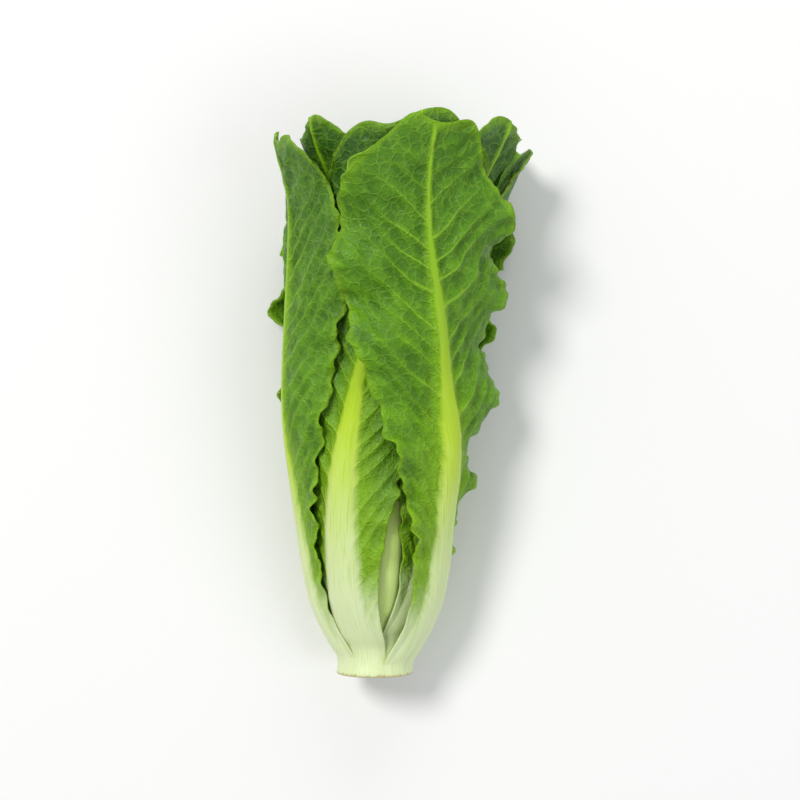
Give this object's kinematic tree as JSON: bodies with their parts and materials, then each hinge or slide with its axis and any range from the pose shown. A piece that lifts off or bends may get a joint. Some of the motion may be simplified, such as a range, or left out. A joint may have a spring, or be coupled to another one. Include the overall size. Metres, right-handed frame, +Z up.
{
  "type": "romaine lettuce head",
  "caption": "Whole head of romaine lettuce lying on its side: a short cut stem and nested, waved leaves with thick pale ribs",
  "frame": {"origin": "on the surface that the head lies on, at the middle of the flat rest patch under the lowest leaf, straight below the centre of mass", "axes": "+Y along the head from the cut stem towards the leaf tips, +Z up, +X towards the side that the tips lean to"},
  "size_m": [0.1405, 0.2921, 0.1121],
  "materials": {
    "stem": "satin",
    "outer_leaf": "satin",
    "inner_leaf": "satin",
    "heart_leaf": "satin"
  },
  "bodies": {
    "root": {"stem": "stem", "outer_leaf_01": "outer_leaf", "outer_leaf_02": "outer_leaf", "outer_leaf_03": "outer_leaf", "outer_leaf_04": "outer_leaf", "outer_leaf_05": "outer_leaf", "outer_leaf_06": "outer_leaf", "outer_leaf_07": "outer_leaf", "outer_leaf_08": "outer_leaf", "outer_leaf_09": "outer_leaf", "inner_leaf_01": "inner_leaf", "inner_leaf_02": "inner_leaf", "inner_leaf_03": "inner_leaf", "inner_leaf_04": "inner_leaf", "inner_leaf_05": "inner_leaf", "inner_leaf_06": "inner_leaf", "inner_leaf_07": "inner_leaf", "heart_leaf_01": "heart_leaf", "heart_leaf_02": "heart_leaf", "heart_leaf_03": "heart_leaf", "heart_leaf_04": "heart_leaf", "heart_leaf_05": "heart_leaf"}
  },
  "joints": []
}
